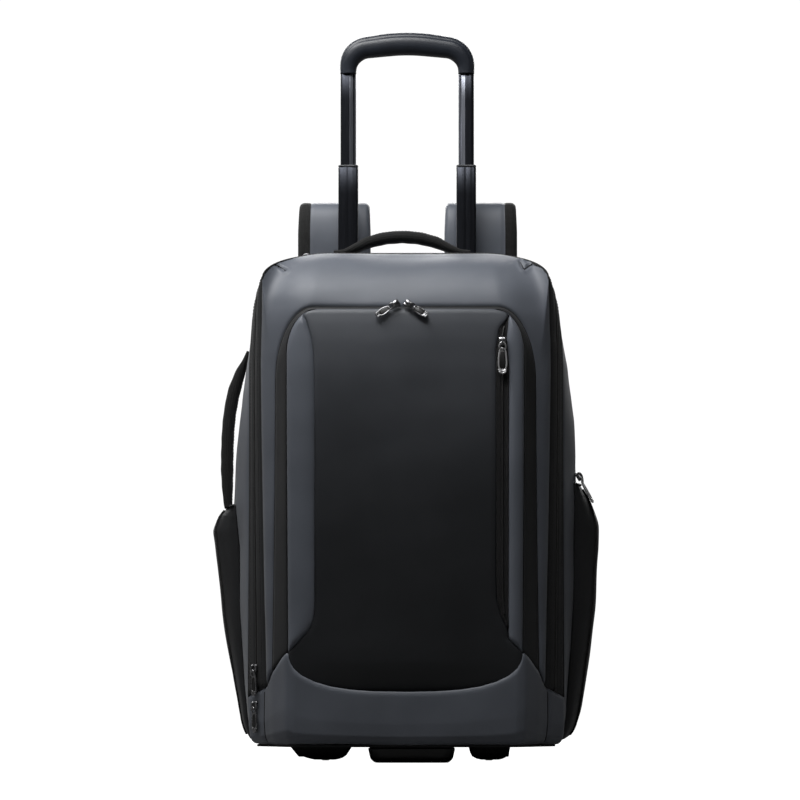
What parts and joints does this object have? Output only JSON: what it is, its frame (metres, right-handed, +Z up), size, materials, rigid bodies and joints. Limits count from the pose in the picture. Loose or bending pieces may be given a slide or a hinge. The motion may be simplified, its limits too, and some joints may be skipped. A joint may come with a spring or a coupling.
{
  "type": "wheeled backpack",
  "caption": "Wheeled cloth backpack with a domed front, raised front pocket, side pockets, shoulder straps, carry handles and a telescopic pull handle.",
  "frame": {"origin": "centre of the overall box at floor level, with the bag standing on its wheels and foot and its pull handle part way out", "axes": "+Z up, -Y out of the bag's front, +X to the right as seen from the front"},
  "size_m": [0.39, 0.2509, 0.752],
  "materials": {
    "grey_cloth": "smooth coated polyester with a satin sheen, slate grey",
    "black_cloth": "smooth coated polyester, near black",
    "webbing": "matte woven webbing and zip tape, black",
    "plastic": "moulded plastic, near black",
    "grip": "soft-touch moulded plastic, blue black",
    "tube": "dark anodised drawn aluminium",
    "zip_metal": "polished gunmetal casting",
    "tyre": "smooth black polyurethane tread"
  },
  "bodies": {
    "bag": {"front_panel": "grey_cloth", "bottom_panel": "grey_cloth", "side_panel_left": "grey_cloth", "side_panel_right": "grey_cloth", "top_panel": "grey_cloth", "pocket_inset_left": "grey_cloth", "pocket_inset_right": "grey_cloth", "shoulder_strap_left": "grey_cloth", "shoulder_strap_right": "grey_cloth", "pocket_panel": "black_cloth", "pocket_gusset": "black_cloth", "zip_gusset": "black_cloth", "back_panel": "black_cloth", "back_pad": "black_cloth", "base_panel": "black_cloth", "side_pocket_left": "black_cloth", "side_pocket_right": "black_cloth", "pocket_zip_tape": "webbing", "top_handle": "webbing", "side_handle": "webbing", "strap_webbing_left": "webbing", "strap_webbing_right": "webbing", "d_ring_tab": "webbing", "strap_buckle_left": "plastic", "strap_buckle_right": "plastic", "handle_bezel_left": "plastic", "handle_bezel_right": "plastic", "wheel_housing_left": "plastic", "wheel_housing_right": "plastic", "stand_foot": "plastic", "wheel_axle_left": "zip_metal", "wheel_axle_right": "zip_metal", "outer_tube_left": "tube", "outer_tube_right": "tube", "d_ring": "zip_metal", "top_zip_left_slider": "zip_metal", "top_zip_left_puller": "zip_metal", "top_zip_right_slider": "zip_metal", "top_zip_right_puller": "zip_metal", "front_zip_slider": "zip_metal", "front_zip_puller": "zip_metal", "main_zip_upper_slider": "zip_metal", "main_zip_upper_puller": "zip_metal", "main_zip_lower_slider": "zip_metal", "main_zip_lower_puller": "zip_metal", "side_zip_slider": "zip_metal", "side_zip_puller": "zip_metal"},
    "handle_lower": {"middle_tube_left": "tube", "middle_tube_right": "tube", "middle_collar_left": "tube", "middle_collar_right": "tube"},
    "handle_upper": {"upper_tube_left": "tube", "upper_tube_right": "tube", "grip": "grip"},
    "wheel_left": {"wheel_tyre_left": "tyre", "wheel_hub_left": "plastic"},
    "wheel_right": {"wheel_tyre_right": "tyre", "wheel_hub_right": "plastic"}
  },
  "joints": [
    {"name": "handle_lower_slide", "type": "slide", "parent": "bag", "child": "handle_lower", "axis": [0, 0, 1], "range_m": [-0.087, 0.155]},
    {"name": "handle_upper_slide", "type": "slide", "parent": "handle_lower", "child": "handle_upper", "axis": [0, 0, 1], "range_m": [-0.094, 0.15]},
    {"name": "wheel_left_spin", "type": "hinge", "parent": "bag", "child": "wheel_left", "pos_m": [-0.084, 0.0535, 0.031], "axis": [1, 0, 0], "continuous": true},
    {"name": "wheel_right_spin", "type": "hinge", "parent": "bag", "child": "wheel_right", "pos_m": [0.084, 0.0535, 0.031], "axis": [1, 0, 0], "continuous": true}
  ]
}
